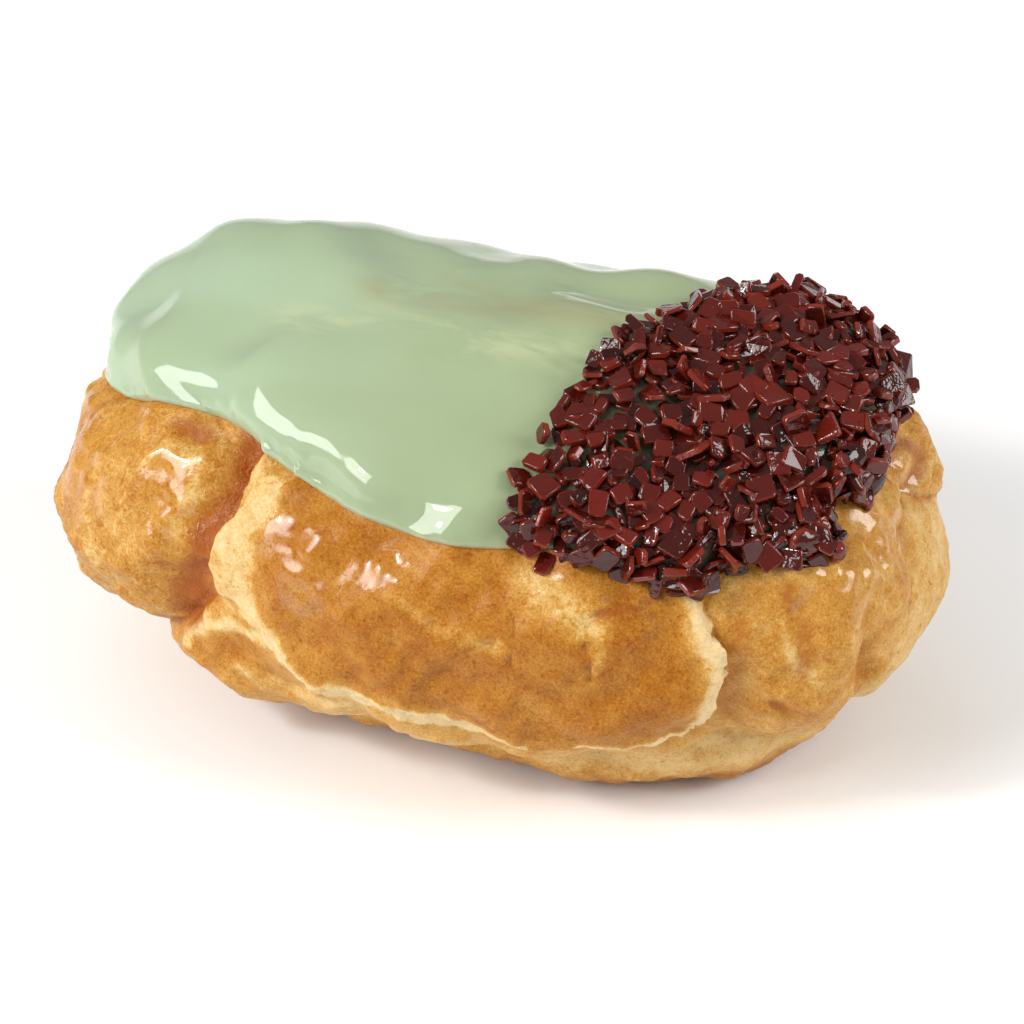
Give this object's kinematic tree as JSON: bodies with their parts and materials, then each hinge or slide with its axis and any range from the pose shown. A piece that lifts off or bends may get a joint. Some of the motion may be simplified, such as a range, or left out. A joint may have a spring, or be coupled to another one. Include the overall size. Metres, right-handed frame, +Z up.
{
  "type": "glazed cream puff",
  "caption": "Long choux bun puffed into lobes, its top dipped in pale green icing, with broken chocolate flakes over one end; rests on its flat underside.",
  "frame": {"origin": "on the flat underside, below the heart of the bun", "axes": "+X along the bun towards the end with the chocolate flakes, -Y towards the side that the picture shows, +Z up through the icing"},
  "size_m": [0.0926, 0.0581, 0.0461],
  "materials": {
    "crust": "baked choux crust, golden brown with cream cracks, lightly glossy from egg wash",
    "icing": "glossy pale green pouring icing",
    "chocolate": "broken flakes of dark red-brown chocolate, glossy, fused to the icing node"
  },
  "bodies": {
    "root": {"choux_bun": "crust", "icing": "icing"}
  },
  "joints": []
}
